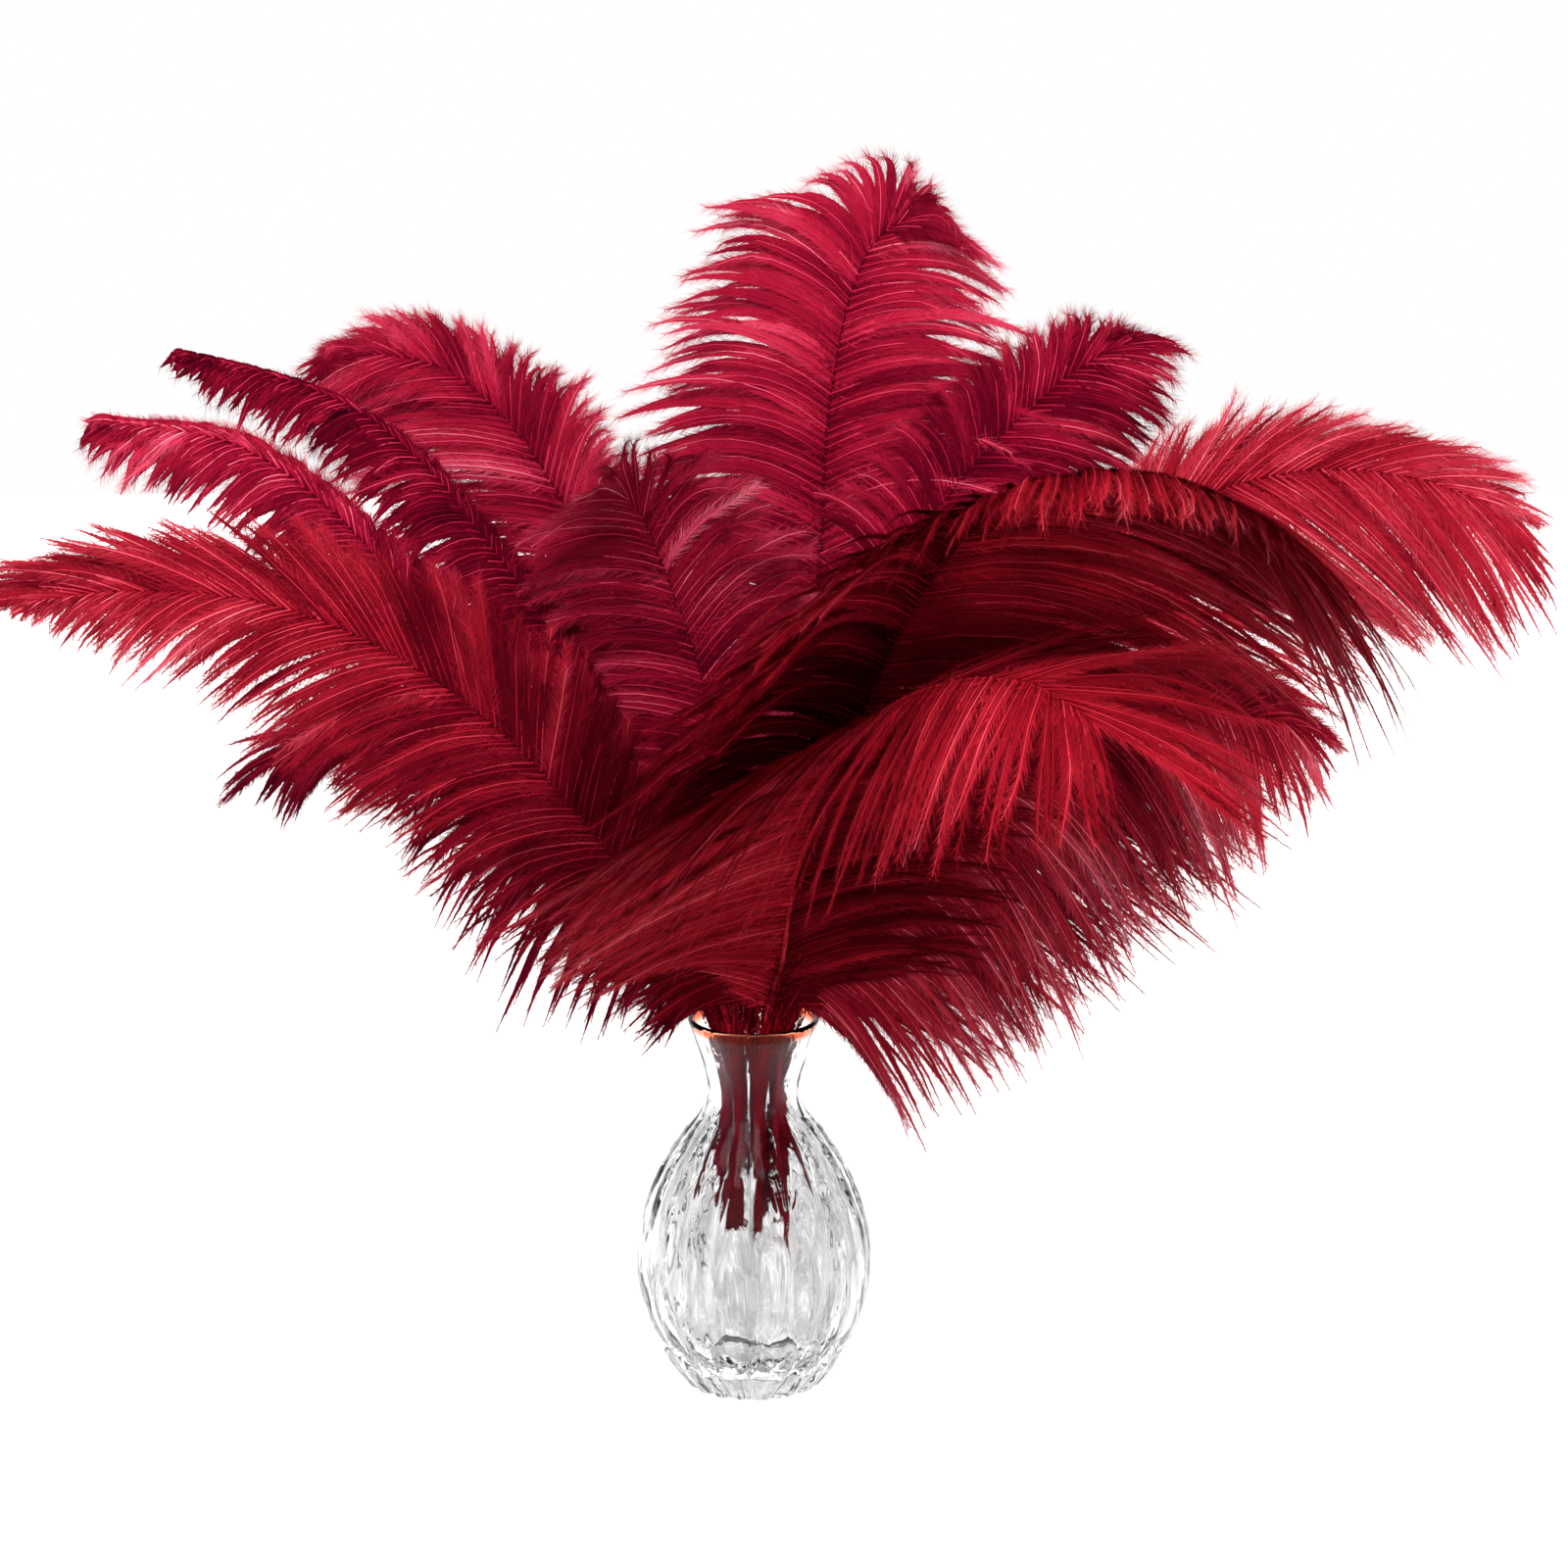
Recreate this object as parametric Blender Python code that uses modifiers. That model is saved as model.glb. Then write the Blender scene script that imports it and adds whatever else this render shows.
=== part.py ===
"""Bunch of twelve dyed ostrich plumes standing in a small ribbed vase of clear glass.

Lengths below are millimetres. The origin is the centre of the vase's flat foot, +Z is up and
-Y is the front of the arrangement. Every plume is one solid: its quill and shaft with a vane
on either side, cut into a lock of barbs for each row.
"""
import math

import bmesh
import bpy
import numpy as np
from mathutils.bvhtree import BVHTree

MM = 0.001
SHARP_ANGLE = math.radians(40)

# Vase
VASE_HEIGHT = 120.0
RIB_COUNT = 18
RIB_DEPTH = 0.8
RIB_TOP = 92.0
RIB_FADE = 16.0
STEPS_A_RIB = 2
SAME_POINT = 0.01
FLOOR_HEIGHT = 8.0
WALL_PROFILE = [(20.6, VASE_HEIGHT), (17.4, 109.0), (14.8, 99.0), (14.7, 94.0), (17.0, 89.0), (21.8, 82.5),
                (27.6, 73.0), (33.4, 59.0), (36.2, 45.0), (35.8, 33.0), (32.4, 20.0), (26.4, 7.5),
                (21.0, 1.4)]
FOOT_RADIUS = 20.0
BORE_PROFILE = [(18.4, VASE_HEIGHT), (15.0, 109.0), (12.3, 99.0), (12.2, 94.0), (14.2, 88.5), (19.0, 81.5),
                (24.6, 72.0), (30.4, 58.5), (33.2, 45.0), (32.8, 33.0), (29.0, 20.0), (20.0, 9.5)]

# Sheaf: nine quills stand in a ring in the neck, open at the back, and three stand inside it
NECK_LEVEL = 96.0
RIM_LEVEL = 123.0
RING_RADIUS = 8.8
INNER_RADIUS = 3.6
RIM_REACH = 13.8
RIM_BLEND = 0.55

# Plume
QUILL_WIDTH = 2.6
TIP_WIDTH = 0.9
VANE_THICKNESS = 0.65
LOCK_THICKNESS = 0.5
FIRST_BARB = 4.0
VANE_START = 20.0
VANE_ROWS = 21
QUILL_ROWS = 6
LAST_ROW = QUILL_ROWS + VANE_ROWS - 1
COLUMNS = 6
INNER_STATION = 0.33
OUTER_STATION = 0.66
KNEE = 0.4
SWELL_SHARE = 0.42
FULL_TAPER = 2.0
CLOSING_SHARE = 0.09
CLOSED_LEAN = 0.22
WIDTH_POWER = 1.5
LINE_SAMPLES = 24
FRAME_STEP = 1.5
KEEP_CLEAR = 0.7
TRIM_STEP = 0.86
SHORTEST_LOCK = 1.4
TRIM_ROUNDS = 40

# Each plume: where its quill stands in the neck (degrees, radius), how far its quill end spreads
# and at what height, the shaft above the rim, the way its face looks at root and tip, and for the
# left and right vane the longest barb, its lean from the shaft at root and tip in degrees, its
# droop, and the outline (share of full length at the root, where the taper starts, share at tip and
# how full the taper is). A left vane that behaves otherwise has its lean or droop given at three
# places: root, KNEE and tip.
PLUMES = {
    "feather_front": {
        "seat": (280, RING_RADIUS), "end": (1.3, 52),
        "shaft": [(9, -25, 146), (11, -40, 166), (16, -60, 195), (26, -82, 226), (43, -101, 247),
                  (64, -114, 257), (82, -123, 257), (96, -130, 250)],
        "face": ((0.1, -1.0, -0.2), (0.0, 0.5, -0.85)), "reach": (76, 78), "lean": (52, 46),
        "lean_left": (68, 110, 95), "droop": (0.0, 0.25), "droop_left": (0.12, 0.24, 0.95),
        "recurve": 0.04, "outline": ((0.62, 0.48, 0.22, 1.3), (0.85, 0.6, 0.75))},
    "feather_right_arch": {
        "seat": (322, INNER_RADIUS), "end": (1.5, 58),
        "shaft": [(13, -22, 157), (25, -42, 203), (37, -60, 241), (51, -80, 276), (69, -103, 303),
                  (93, -125, 319), (120, -140, 322), (148, -150, 311)],
        "face": ((0.1, -1.0, -0.2), (0.1, -0.4, -1.0)), "reach": (86, 112), "lean": (72, 56),
        "lean_left": (72, 60, 40), "droop": (0.5, 0.46), "recurve": 0.1,
        "outline": ((0.5, 0.25, 0.16, 1.0), (0.35, 0.6, 0.3))},
    "feather_top": {
        "seat": (50, RING_RADIUS), "end": (1.3, 66),
        "shaft": [(6, 19, 158), (15, 35, 205), (21, 56, 256), (24, 72, 300), (31, 84, 334),
                  (39, 88, 350), (50, 84, 358)],
        "face": ((0.0, -1.0, 0.1), (0.0, -1.0, 0.2)), "reach": (72, 73), "lean": (66, 54),
        "droop": (0.22, 0.16), "recurve": 0.3,
        "outline": ((0.3, 0.44, 0.1, 2.4), (0.3, 0.48, 0.12, 2.4))},
    "feather_far_right": {
        "seat": (350, RING_RADIUS), "end": (1.4, 60),
        "shaft": [(25, 10, 151), (58, 22, 199), (98, 30, 244), (128, 32, 272), (149, 30, 283),
                  (176, 25, 289), (204, 17, 288), (228, 10, 281)],
        "face": ((0.0, -1.0, 0.2), (0.0, -1.0, 0.3)), "reach": (42, 80), "lean": (80, 28),
        "lean_left": (50, 36, 20), "droop": (0.2, 0.36), "recurve": 0.0,
        "outline": ((0.3, 0.7, 0.25), (0.7, 0.45, 0.1))},
    "feather_low_right": {
        "seat": (322, RING_RADIUS), "end": (1.35, 47),
        "shaft": [(25, -18, 142), (48, -32, 176), (78, -45, 207), (106, -55, 228),
                  (134, -62, 236), (161, -66, 231)],
        "face": ((0.2, -1.0, 0.3), (0.2, -1.0, 0.4)), "reach": (40, 46), "lean": (78, 50),
        "droop": (0.6, 0.62), "recurve": 0.1, "outline": ((0.7, 0.4, 0.4), (0.8, 0.3, 0.34))},
    "feather_up_left": {
        "seat": (210, INNER_RADIUS), "end": (1.5, 70),
        "shaft": [(-9, 15, 159), (-24, 30, 193), (-38, 48, 227), (-52, 62, 255), (-67, 72, 279),
                  (-82, 80, 297), (-101, 84, 310), (-128, 82, 315)],
        "face": ((0.0, -1.0, 0.1), (0.0, -1.0, 0.2)), "reach": (68, 46), "lean": (64, 30),
        "droop": (0.25, 0.3), "recurve": 0.1, "outline": ((0.3, 0.5, 0.15), (0.3, 0.5, 0.15))},
    "feather_left_high": {
        "seat": (173, RING_RADIUS), "end": (1.45, 60),
        "shaft": [(-16, 2, 153), (-35, 5, 187), (-51, 8, 221), (-68, 10, 249), (-84, 12, 271),
                  (-102, 14, 293), (-124, 14, 311), (-151, 12, 322), (-175, 8, 329)],
        "face": ((0.5, -0.6, 0.3), (0.6, -0.5, 0.4)), "reach": (52, 30), "lean": (72, 18),
        "droop": (0.72, 0.6), "recurve": 0.0,
        "outline": ((0.4, 0.22, 0.1, 1.05), (0.4, 0.25, 0.1, 1.05))},
    "feather_left_mid": {
        "seat": (204, RING_RADIUS), "end": (1.6, 62),
        "shaft": [(-19, -12, 153), (-42, -22, 185), (-66, -30, 217), (-90, -36, 246),
                  (-108, -40, 270), (-128, -42, 293), (-154, -42, 311), (-192, -40, 318)],
        "face": ((0.5, -0.6, 0.3), (0.1, -0.9, 0.3)), "reach": (50, 32), "lean": (72, 16),
        "droop": (0.72, 0.4), "recurve": 0.0,
        "outline": ((0.4, 0.22, 0.22, 1.1), (0.4, 0.25, 0.26, 1.2))},
    "feather_far_left": {
        "seat": (238, RING_RADIUS), "end": (1.4, 56),
        "shaft": [(-21, -25, 152), (-44, -40, 185), (-70, -52, 220), (-96, -60, 244),
                  (-122, -64, 260), (-153, -66, 270), (-188, -66, 272), (-216, -64, 268)],
        "face": ((0.1, -1.0, 0.2), (0.0, -1.0, 0.2)), "reach": (56, 50), "lean": (58, 18),
        "lean_left": (58, 40, 12), "droop": (0.4, 0.2), "recurve": 0.0,
        "outline": ((0.3, 0.35, 0.08, 1.3), (0.4, 0.7, 0.3))},
    "feather_low_left": {
        "seat": (142, RING_RADIUS), "end": (1.35, 64),
        "shaft": [(-24, 20, 139), (-53, 38, 161), (-81, 50, 180), (-106, 58, 191),
                  (-128, 62, 195), (-147, 62, 188)],
        "face": ((0.0, -1.0, 0.3), (0.0, -1.0, 0.3)), "reach": (28, 40), "lean": (64, 30),
        "droop": (0.36, 0.44), "recurve": 0.0, "outline": ((0.3, 0.6, 0.5), (0.6, 0.6, 0.5))},
    "feather_up_right": {
        "seat": (19, RING_RADIUS), "end": (1.35, 68),
        "shaft": [(17, 16, 158), (30, 37, 204), (45, 52, 245), (64, 62, 276), (84, 70, 296),
                  (101, 74, 310), (117, 74, 319)],
        "face": ((0.0, -1.0, 0.1), (0.0, -1.0, 0.2)), "reach": (52, 64), "lean": (66, 34),
        "droop": (0.22, 0.15), "recurve": 0.25, "outline": ((0.3, 0.35, 0.12), (0.3, 0.35, 0.3))},
    "feather_short_left": {
        "seat": (270, INNER_RADIUS), "end": (1.3, 72),
        "shaft": [(-2, 8, 161), (-9, 14, 198), (-18, 17, 232), (-27, 16, 258), (-34, 13, 276),
                  (-39, 8, 284)],
        "face": ((0.0, -1.0, 0.1), (0.0, -1.0, 0.3)), "reach": (56, 60), "lean": (62, 46),
        "droop": (0.3, 0.3), "recurve": 0.1, "outline": ((0.3, 0.5, 0.4), (0.3, 0.5, 0.4))},
}

# Colours: front plumes are dyed a redder crimson, the ones behind a cooler one
GLASS_COLOUR = (0.93, 0.95, 0.95, 1.0)
WARM_CRIMSON = (0.38, 0.008, 0.02, 1.0)
COOL_CRIMSON = (0.30, 0.006, 0.03, 1.0)
WARM_PLUMES = ("feather_front", "feather_right_arch", "feather_far_right", "feather_low_right",
               "feather_far_left")


def clear_scene():
    for thing in list(bpy.data.objects):
        bpy.data.objects.remove(thing, do_unlink=True)


def make_collection(name):
    group = bpy.data.collections.new(name)
    bpy.context.scene.collection.children.link(group)
    return group


def make_material(name, colour, roughness, transmission=0.0):
    material = bpy.data.materials.new(name)
    material.use_nodes = True
    shader = material.node_tree.nodes["Principled BSDF"]
    shader.inputs["Base Color"].default_value = colour
    shader.inputs["Roughness"].default_value = roughness
    shader.inputs["Metallic"].default_value = 0.0
    shader.inputs["Transmission Weight"].default_value = transmission
    return material


def finish_object(thing, material, collection):
    thing.data.materials.clear()
    thing.data.materials.append(material)
    collection.objects.link(thing)
    thing.data.shade_smooth()
    thing.data.set_sharp_from_angle(angle=SHARP_ANGLE)


def baked_mesh(thing, name):
    """The mesh of an object with its modifiers applied."""
    bpy.context.view_layer.update()
    evaluated = thing.evaluated_get(bpy.context.evaluated_depsgraph_get())
    mesh = bpy.data.meshes.new_from_object(evaluated)
    mesh.name = name
    return mesh


def make_vase(collection, material):
    """A turned wall whose outer side is fluted below the shoulder: two screw steps for each rib."""
    profile = [(0.0, FLOOR_HEIGHT)] + BORE_PROFILE[::-1] + WALL_PROFILE + [(FOOT_RADIUS, 0.0), (0.0, 0.0)]
    turning = bpy.data.meshes.new("vase_profile")
    points = [(radius * MM, 0.0, height * MM) for radius, height in profile]
    turning.from_pydata(points, [(i, i + 1) for i in range(len(points) - 1)], [])
    guide = bpy.data.objects.new("vase_profile", turning)
    bpy.context.scene.collection.objects.link(guide)
    screw = guide.modifiers.new("Turn", 'SCREW')
    screw.steps = STEPS_A_RIB * RIB_COUNT
    screw.render_steps = STEPS_A_RIB * RIB_COUNT
    screw.use_merge_vertices = True
    screw.merge_threshold = SAME_POINT * MM
    mesh = baked_mesh(guide, "vase")
    bpy.data.objects.remove(guide, do_unlink=True)
    outer = WALL_PROFILE + [(FOOT_RADIUS, 0.0)]
    for vertex in mesh.vertices:
        radius = math.hypot(vertex.co.x, vertex.co.y) / MM
        height = vertex.co.z / MM
        on_wall = any(math.hypot(radius - r, height - z) < SAME_POINT for r, z in outer)
        if on_wall and height < RIB_TOP:
            angle = math.atan2(vertex.co.y, vertex.co.x)
            fade = min(1.0, (RIB_TOP - height) / RIB_FADE)
            ribbed = radius + RIB_DEPTH * fade * math.cos(RIB_COUNT * angle)
            vertex.co.x *= ribbed / radius
            vertex.co.y *= ribbed / radius
    vase = bpy.data.objects.new("vase", mesh)
    finish_object(vase, material, collection)
    return vase


def quill_points(plume):
    """Quill end, neck and rim points, followed by the shaft's own points."""
    angle, radius = plume["seat"]
    spread, end_height = plume["end"]
    neck = np.array([radius * math.cos(math.radians(angle)), radius * math.sin(math.radians(angle)),
                     NECK_LEVEL])
    end = np.array([neck[0] * spread, neck[1] * spread, end_height])
    rim = neck + (np.array(plume["shaft"][0], float) - neck) * RIM_BLEND
    rim[2] = RIM_LEVEL
    rim[:2] *= min(1.0, RIM_REACH / math.hypot(rim[0], rim[1]))
    return [end, neck, rim] + [np.array(point, float) for point in plume["shaft"]]


def smooth_line(points):
    """Centripetal Catmull-Rom curve through the points, and the distance run at each sample."""
    knots = [2 * points[0] - points[1]] + points + [2 * points[-1] - points[-2]]
    pieces = []
    for before, start, stop, after in zip(knots, knots[1:], knots[2:], knots[3:]):
        t0 = 0.0
        t1 = t0 + math.sqrt(np.linalg.norm(start - before))
        t2 = t1 + math.sqrt(np.linalg.norm(stop - start))
        t3 = t2 + math.sqrt(np.linalg.norm(after - stop))
        t = np.linspace(t1, t2, LINE_SAMPLES, endpoint=False)[:, None]
        a1 = (t1 - t) / (t1 - t0) * before + (t - t0) / (t1 - t0) * start
        a2 = (t2 - t) / (t2 - t1) * start + (t - t1) / (t2 - t1) * stop
        a3 = (t3 - t) / (t3 - t2) * stop + (t - t2) / (t3 - t2) * after
        b1 = (t2 - t) / (t2 - t0) * a1 + (t - t0) / (t2 - t0) * a2
        b2 = (t3 - t) / (t3 - t1) * a2 + (t - t1) / (t3 - t1) * a3
        pieces.append((t2 - t) / (t2 - t1) * b1 + (t - t1) / (t2 - t1) * b2)
    line = np.vstack(pieces + [points[-1][None]])
    run = np.concatenate([[0.0], np.cumsum(np.linalg.norm(np.diff(line, axis=0), axis=1))])
    return line, run


class Shaft:
    """The line of a plume's quill and shaft, with a frame of axes along it."""

    def __init__(self, plume):
        self.plume = plume
        self.line, self.run = smooth_line(quill_points(plume))
        self.length = self.run[-1]
        leaves_vase = self.run[np.argmax(self.line[:, 2] > RIM_LEVEL)]
        self.first_barb = leaves_vase + FIRST_BARB
        self.vane_start = leaves_vase + VANE_START

    def place(self, run):
        return np.array([np.interp(run, self.run, self.line[:, axis]) for axis in range(3)])

    def share(self, run):
        """How far along its barbs a run is: 0 at the first barb and 1 at the tip."""
        return (run - self.first_barb) / (self.length - self.first_barb)

    def row_run(self, index):
        """Run of a row of the vane; half a row gives the middle of a lock."""
        return self.vane_start + index / (VANE_ROWS - 1) * (self.length - self.vane_start)

    def full_reach(self, run, side):
        """Length of a whole barb that leaves at this run."""
        return self.plume["reach"][side] * outline(self.share(run), *self.plume["outline"][side])

    def axes(self, run):
        """Direction of the shaft and direction across it, square to the face."""
        along = self.place(min(run + FRAME_STEP, self.length)) - self.place(max(run - FRAME_STEP, 0.0))
        along /= np.linalg.norm(along)
        share = max(0.0, self.share(run))
        root_face, tip_face = (np.array(face) for face in self.plume["face"])
        across = np.cross(along, root_face * (1 - share) + tip_face * share)
        return along, across / np.linalg.norm(across)

    def barb(self, run, side, station):
        """A point on the barb that leaves the shaft at a run, on side 0 or 1, at a share of its length.

        The barb leaves at its lean, which closes at the very tip, and bends with the square of
        the distance along it: down by its droop, and back along the shaft by its recurve.
        """
        share = self.share(run)
        along, across = self.axes(run)
        lean = np.interp(share, (0, 1), self.plume["lean"])
        droop = self.plume["droop"][side]
        if side == 0 and "lean_left" in self.plume:
            lean = np.interp(share, (0, KNEE, 1), self.plume["lean_left"])
        if side == 0 and "droop_left" in self.plume:
            droop = np.interp(share, (0, KNEE, 1), self.plume["droop_left"])
        closing = CLOSED_LEAN + (1 - CLOSED_LEAN) * min(1.0, (1 - share) / CLOSING_SHARE)
        lean = math.radians(lean) * closing
        outward = across if side else -across
        start = math.cos(lean) * along + math.sin(lean) * outward
        bend = np.array([0.0, 0.0, -droop]) - self.plume["recurve"] * along
        return self.place(run) + self.full_reach(run, side) * (station * start + station ** 2 * bend)


def outline(share, root, taper, tip, fullness=FULL_TAPER):
    """Barb length along the vane: it swells from the root, then closes along a rounded taper."""
    swell = root + (1 - root) * math.sin(min(share / SWELL_SHARE, 1.0) * math.pi / 2)
    closing = max(0.0, (share - taper) / (1 - taper))
    return swell * (tip + (1 - tip) * max(0.0, 1 - closing ** fullness) ** (1 / fullness))


def sheet_stations(shaft, trims, vanes=True):
    """Where each column of each row of the sheet lies, and how thick the plume is there."""
    places = np.zeros((LAST_ROW + 1, COLUMNS, 3))
    thickness = np.zeros((LAST_ROW + 1, COLUMNS))
    for row in range(LAST_ROW + 1):
        run = shaft.row_run(row - QUILL_ROWS)
        if row < QUILL_ROWS:
            run = shaft.vane_start * row / QUILL_ROWS
        width = QUILL_WIDTH + (TIP_WIDTH - QUILL_WIDTH) * (run / shaft.length) ** WIDTH_POWER
        across = shaft.axes(run)[1]
        middle = shaft.place(run)
        places[row, 2] = middle - across * width / 2
        places[row, 3] = middle + across * width / 2
        thickness[row, 2:4] = width
        if row >= QUILL_ROWS and vanes:
            for side, columns in ((0, (1, 0)), (1, (4, 5))):
                trim = trims[row - QUILL_ROWS, side]
                for column, station in zip(columns, (INNER_STATION, OUTER_STATION)):
                    places[row, column] = shaft.barb(run, side, station * trim)
                    thickness[row, column] = VANE_THICKNESS
    return places, thickness


def plume_sheet(name, shaft, trims, vanes=True):
    """The open sheet of a plume: a grid bent to the shaft and barbs, with one lock a row a side."""
    places, thickness = sheet_stations(shaft, trims, vanes)
    sheet = bmesh.new()
    bmesh.ops.create_grid(sheet, x_segments=COLUMNS - 1, y_segments=LAST_ROW, size=0.5)
    cells = {}
    for vertex in sheet.verts:
        column = round((vertex.co.x + 0.5) * (COLUMNS - 1))
        row = round((vertex.co.y + 0.5) * LAST_ROW)
        cells[(row, column)] = vertex
    unused = [vertex for (row, column), vertex in cells.items()
              if column not in (2, 3) and (row < QUILL_ROWS or not vanes)]
    kept = {cell: vertex for cell, vertex in cells.items() if vertex not in set(unused)}
    for (row, column), vertex in kept.items():
        vertex.co = places[row, column] * MM
    bmesh.ops.delete(sheet, geom=unused, context='VERTS')
    owners = {vertex: (row, column, thickness[row, column]) for (row, column), vertex in kept.items()}
    if vanes:
        for index in range(VANE_ROWS - 1):
            for side, column in ((0, 0), (1, COLUMNS - 1)):
                row = QUILL_ROWS + index
                pair = (kept[(row, column)], kept[(row + 1, column)])
                edge = sheet.edges.get(pair)
                trim = min(trims[index, side], trims[index + 1, side])
                tip = shaft.barb(shaft.row_run(index + 0.5), side, trim)
                made = bmesh.ops.extrude_edge_only(sheet, edges=[edge])
                ends = [item for item in made["geom"] if isinstance(item, bmesh.types.BMVert)]
                bmesh.ops.pointmerge(sheet, verts=ends, merge_co=tip * MM)
                lock = [vertex for vertex in sheet.verts if vertex not in owners][0]
                owners[lock] = (row, column, LOCK_THICKNESS)
    sheet.verts.index_update()
    marks = [owners[vertex] for vertex in sheet.verts]
    mesh = bpy.data.meshes.new(name)
    sheet.to_mesh(mesh)
    sheet.free()
    return mesh, marks


def plume_object(name, shaft, trims, extra=0.0, vanes=True):
    """The sheet given its thickness, which the vertex group sets from quill to lock."""
    mesh, marks = plume_sheet(name, shaft, trims, vanes)
    thing = bpy.data.objects.new(name, mesh)
    full = QUILL_WIDTH + extra
    group = thing.vertex_groups.new(name="thickness")
    for index, (row, column, thickness) in enumerate(marks):
        group.add([index], (thickness + extra) / full, 'REPLACE')
    solidify = thing.modifiers.new("Thickness", 'SOLIDIFY')
    solidify.thickness = full * MM
    solidify.offset = 0.0
    solidify.vertex_group = "thickness"
    return thing, marks


def trial_tree(shaft, trims, extra, vanes=True):
    """Search tree of a plume as it would be built, and the sheet row and column of each face."""
    thing, marks = plume_object("trial", shaft, trims, extra, vanes)
    bpy.context.scene.collection.objects.link(thing)
    mesh = baked_mesh(thing, "trial")
    mesh.calc_loop_triangles()
    corners = [tuple(triangle.vertices) for triangle in mesh.loop_triangles]
    tree = BVHTree.FromPolygons([vertex.co.copy() for vertex in mesh.vertices], corners)
    owners = [[marks[corner % len(marks)][:2] for corner in face] for face in corners]
    bpy.data.objects.remove(thing, do_unlink=True)
    bpy.data.meshes.remove(mesh)
    return tree, owners, corners


def clashing_locks(tree, owners, corners, obstacles):
    """The vane rows, as (row, side), that meet an obstacle or another part of their own plume."""
    faces = {pair[0] for obstacle in obstacles for pair in tree.overlap(obstacle)}
    for first, second in tree.overlap(tree):
        if first < second and not set(corners[first]) & set(corners[second]):
            rows = {row for face in (first, second) for row, column in owners[face]}
            if max(rows) - min(rows) > 1:
                faces.update((first, second))
    locks = set()
    for face in faces:
        for row, column in owners[face]:
            if column not in (2, 3):
                locks.add((row - QUILL_ROWS, 0 if column < 2 else 1))
    return locks


def trim_locks(shaft, obstacles):
    """Shorten the locks that would run into their neighbours until the plume stands clear."""
    trims = np.ones((VANE_ROWS, 2))
    for attempt in range(TRIM_ROUNDS):
        locks = clashing_locks(*trial_tree(shaft, trims, KEEP_CLEAR), obstacles)
        if not locks:
            break
        for row, side in locks:
            shortest = SHORTEST_LOCK / shaft.full_reach(shaft.row_run(row), side)
            trims[row, side] = max(trims[row, side] * TRIM_STEP, shortest)
    return trims


def mesh_tree(thing):
    mesh = thing.data
    mesh.calc_loop_triangles()
    corners = [tuple(triangle.vertices) for triangle in mesh.loop_triangles]
    return BVHTree.FromPolygons([vertex.co.copy() for vertex in mesh.vertices], corners)


def make_plumes(collection, materials, vase_tree):
    """Shafts first, so that no vane is let through one, then the plumes one after another."""
    shafts = {name: Shaft(plume) for name, plume in PLUMES.items()}
    whole = np.ones((VANE_ROWS, 2))
    cores = {name: trial_tree(shaft, whole, 0.0, vanes=False)[0] for name, shaft in shafts.items()}
    finished = []
    for name, shaft in shafts.items():
        others = [core for other, core in cores.items() if other != name]
        trims = trim_locks(shaft, [vase_tree] + others + finished)
        finished.append(trial_tree(shaft, trims, 0.0)[0])
        plume = plume_object(name, shaft, trims)[0]
        finish_object(plume, materials["warm" if name in WARM_PLUMES else "cool"], collection)
        print(name, "length", round(shaft.length), "least trim", round(float(trims.min()), 2),
              "mean trim", round(float(trims.mean()), 2))


def main():
    clear_scene()
    bunch = make_collection("ostrich_feather_bunch")
    glass = make_material("clear_glass", GLASS_COLOUR, 0.03, transmission=1.0)
    dyes = {"warm": make_material("warm_crimson_barbs", WARM_CRIMSON, 0.7),
            "cool": make_material("cool_crimson_barbs", COOL_CRIMSON, 0.7)}
    vase = make_vase(bunch, glass)
    make_plumes(bunch, dyes, mesh_tree(vase))


main()
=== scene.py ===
import math
import bpy
import numpy as np
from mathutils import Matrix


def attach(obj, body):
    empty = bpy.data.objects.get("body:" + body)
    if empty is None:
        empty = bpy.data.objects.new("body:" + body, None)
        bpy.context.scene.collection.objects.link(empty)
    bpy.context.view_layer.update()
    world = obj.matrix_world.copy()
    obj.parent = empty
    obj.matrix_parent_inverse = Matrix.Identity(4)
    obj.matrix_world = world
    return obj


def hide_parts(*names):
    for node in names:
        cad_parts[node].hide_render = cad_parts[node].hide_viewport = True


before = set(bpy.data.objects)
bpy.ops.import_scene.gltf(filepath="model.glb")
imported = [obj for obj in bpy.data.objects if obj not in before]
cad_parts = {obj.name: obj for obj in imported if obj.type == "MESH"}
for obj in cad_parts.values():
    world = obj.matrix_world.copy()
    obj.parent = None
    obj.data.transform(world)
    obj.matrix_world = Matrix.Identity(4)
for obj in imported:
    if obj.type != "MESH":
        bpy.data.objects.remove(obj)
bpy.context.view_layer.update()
mm = 0.001
print("frame loaded:", len(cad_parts), "solids")


# Small helpers: lengths are written in millimetres and turned into metres when a mesh is made

def unit(vectors):
    # each vector divided by its own length
    return vectors / np.linalg.norm(vectors, axis=-1, keepdims=True)


def mixed(start, end, share):
    # start + (end - start) * share
    return start + (end - start) * share


def addObject(name, data):
    # an object at the origin, unturned and unscaled, that holds the data
    thing = bpy.data.objects.new(name, data)
    bpy.context.scene.collection.objects.link(thing)
    return thing


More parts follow.
